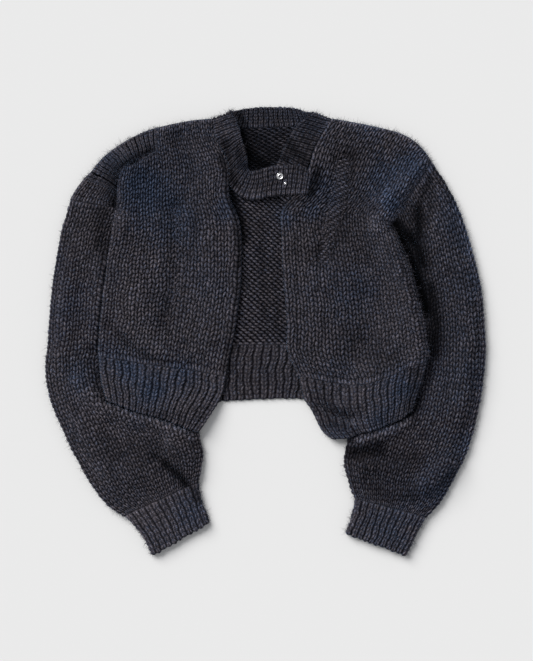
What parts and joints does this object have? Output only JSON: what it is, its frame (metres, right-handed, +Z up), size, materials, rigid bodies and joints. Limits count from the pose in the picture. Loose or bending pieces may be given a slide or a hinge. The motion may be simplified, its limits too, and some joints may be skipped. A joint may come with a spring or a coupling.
{
  "type": "cropped open-front chunky knit cardigan, laid flat",
  "caption": "Cropped open-front cardigan in chunky knit with ribbed hem, cuffs and neckband, laid flat with its sleeves tucked under the body and a press fastener on the neckband tab.",
  "frame": {"origin": "centre of the garment's bounding box in plan, on the flat surface it lies on", "axes": "+Z up from that surface, +Y from hem to neck, +X towards the wearer's left sleeve; the front faces +Z"},
  "size_m": [0.6184, 0.629, 0.0234],
  "materials": {
    "back_knit": "matte wool-like knit",
    "back_hem_knit": "matte wool-like rib",
    "right_front_knit": "matte wool-like knit",
    "right_front_hem_knit": "matte wool-like rib",
    "left_front_knit": "matte wool-like knit",
    "left_front_hem_knit": "matte wool-like rib",
    "right_sleeve_knit": "matte wool-like knit",
    "right_cuff_knit": "matte wool-like rib",
    "left_sleeve_knit": "matte wool-like knit",
    "left_cuff_knit": "matte wool-like rib",
    "neckband_knit": "matte wool-like rib",
    "snap_socket_metal": "bright plated metal",
    "snap_stud_metal": "bright plated metal"
  },
  "bodies": {
    "root": {"back": "back_knit", "back_hem": "back_hem_knit", "right_front": "right_front_knit", "right_front_hem": "right_front_hem_knit", "left_front": "left_front_knit", "left_front_hem": "left_front_hem_knit", "right_sleeve": "right_sleeve_knit", "right_cuff": "right_cuff_knit", "left_sleeve": "left_sleeve_knit", "left_cuff": "left_cuff_knit", "neckband": "neckband_knit", "snap_socket": "snap_socket_metal", "snap_stud": "snap_stud_metal"}
  },
  "joints": []
}
